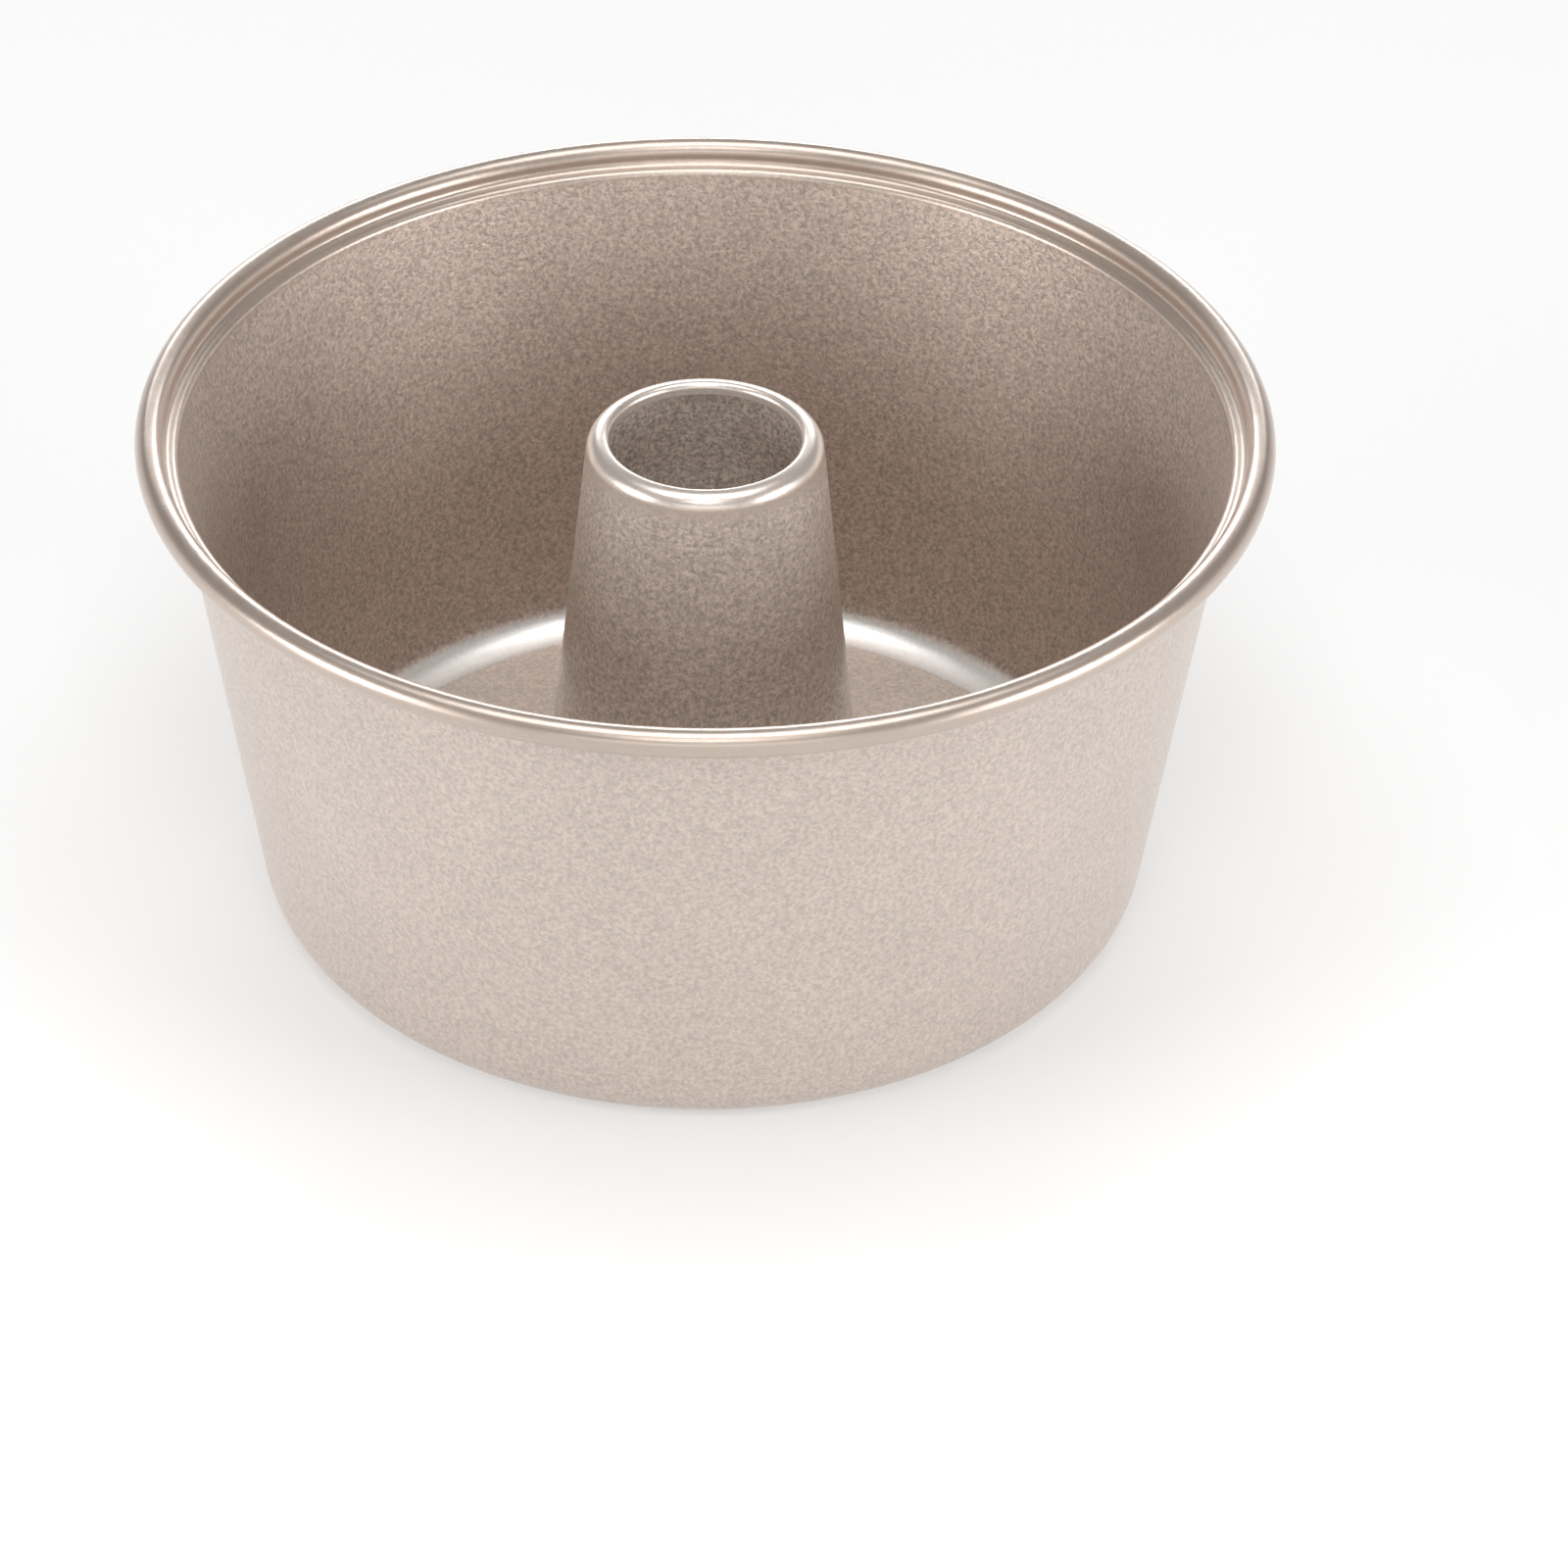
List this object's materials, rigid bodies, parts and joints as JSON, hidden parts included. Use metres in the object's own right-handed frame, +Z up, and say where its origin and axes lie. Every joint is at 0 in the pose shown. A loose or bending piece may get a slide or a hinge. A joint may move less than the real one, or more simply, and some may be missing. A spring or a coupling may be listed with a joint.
{
  "type": "angel food cake pan",
  "caption": "Round tapered cake pan with a rolled rim and a loose flat base that carries a tapered open tube and lifts out of the wall.",
  "frame": {"origin": "centre of the flat face that the pan stands on", "axes": "+Z up along the pan's axis, from the resting face to the rim; +X and +Y are any two level directions, because the pan is a body of revolution"},
  "size_m": [0.22, 0.22, 0.1062],
  "materials": {
    "coated_sheet": "satin metallic coating with a fine grain",
    "steel_wire": "drawn"
  },
  "bodies": {
    "pan": {"pan_body": "coated_sheet", "rim_wire": "steel_wire"},
    "base": {"base_disc": "coated_sheet", "center_tube": "coated_sheet"}
  },
  "joints": [
    {"name": "base_lift", "type": "slide", "parent": "pan", "child": "base", "axis": [0, 0, 1], "range_m": [0, 0.125]}
  ]
}
